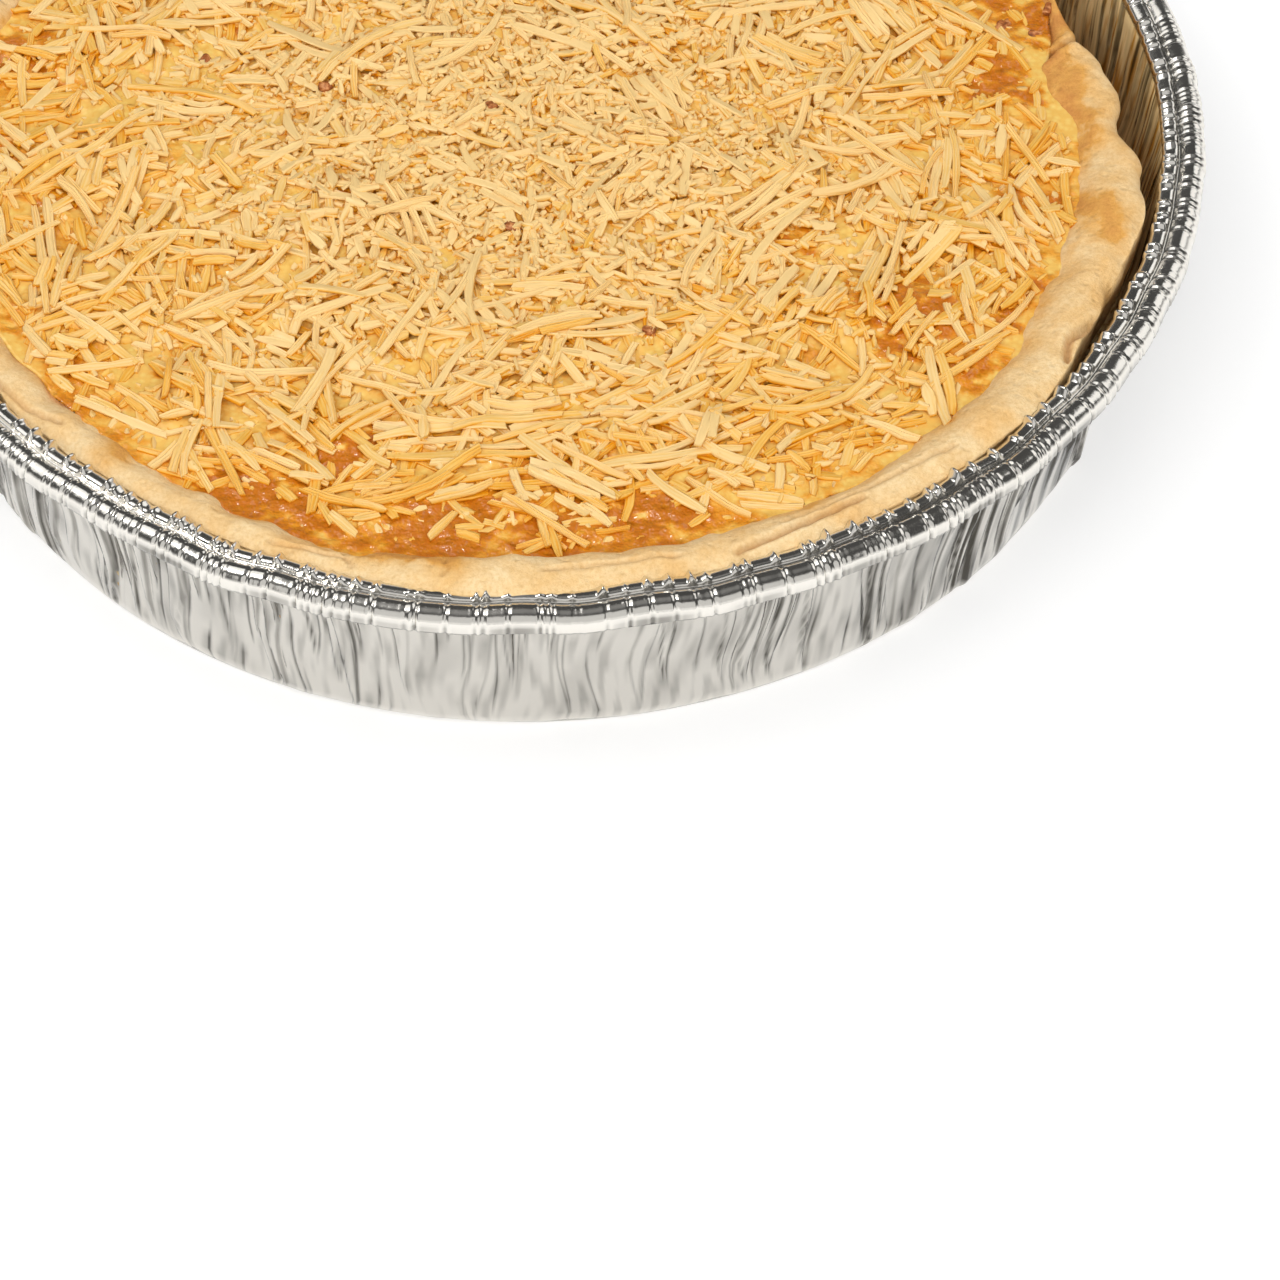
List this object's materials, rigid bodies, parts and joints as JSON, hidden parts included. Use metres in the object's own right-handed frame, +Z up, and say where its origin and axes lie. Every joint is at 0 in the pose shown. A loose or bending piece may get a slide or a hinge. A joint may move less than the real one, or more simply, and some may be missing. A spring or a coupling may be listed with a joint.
{
  "type": "quiche",
  "caption": "Whole baked quiche with a rolled shortcrust edge and grated cheese over browned custard, in a round aluminium foil pan.",
  "frame": {"origin": "middle of the foil pan's flat underside", "axes": "+Z up out of the quiche; -Y is towards the viewer, the side that the pastry has slid to; +X is to the viewer's right"},
  "size_m": [0.2914, 0.2914, 0.0517],
  "materials": {
    "aluminium_foil": "bright drawn foil",
    "shortcrust_pastry": "matt baked pastry",
    "custard_and_cheese": "baked egg custard under grated cheese"
  },
  "bodies": {
    "root": {"foil_pan": "aluminium_foil", "pastry_crust": "shortcrust_pastry", "cheese_filling": "custard_and_cheese"}
  },
  "joints": []
}
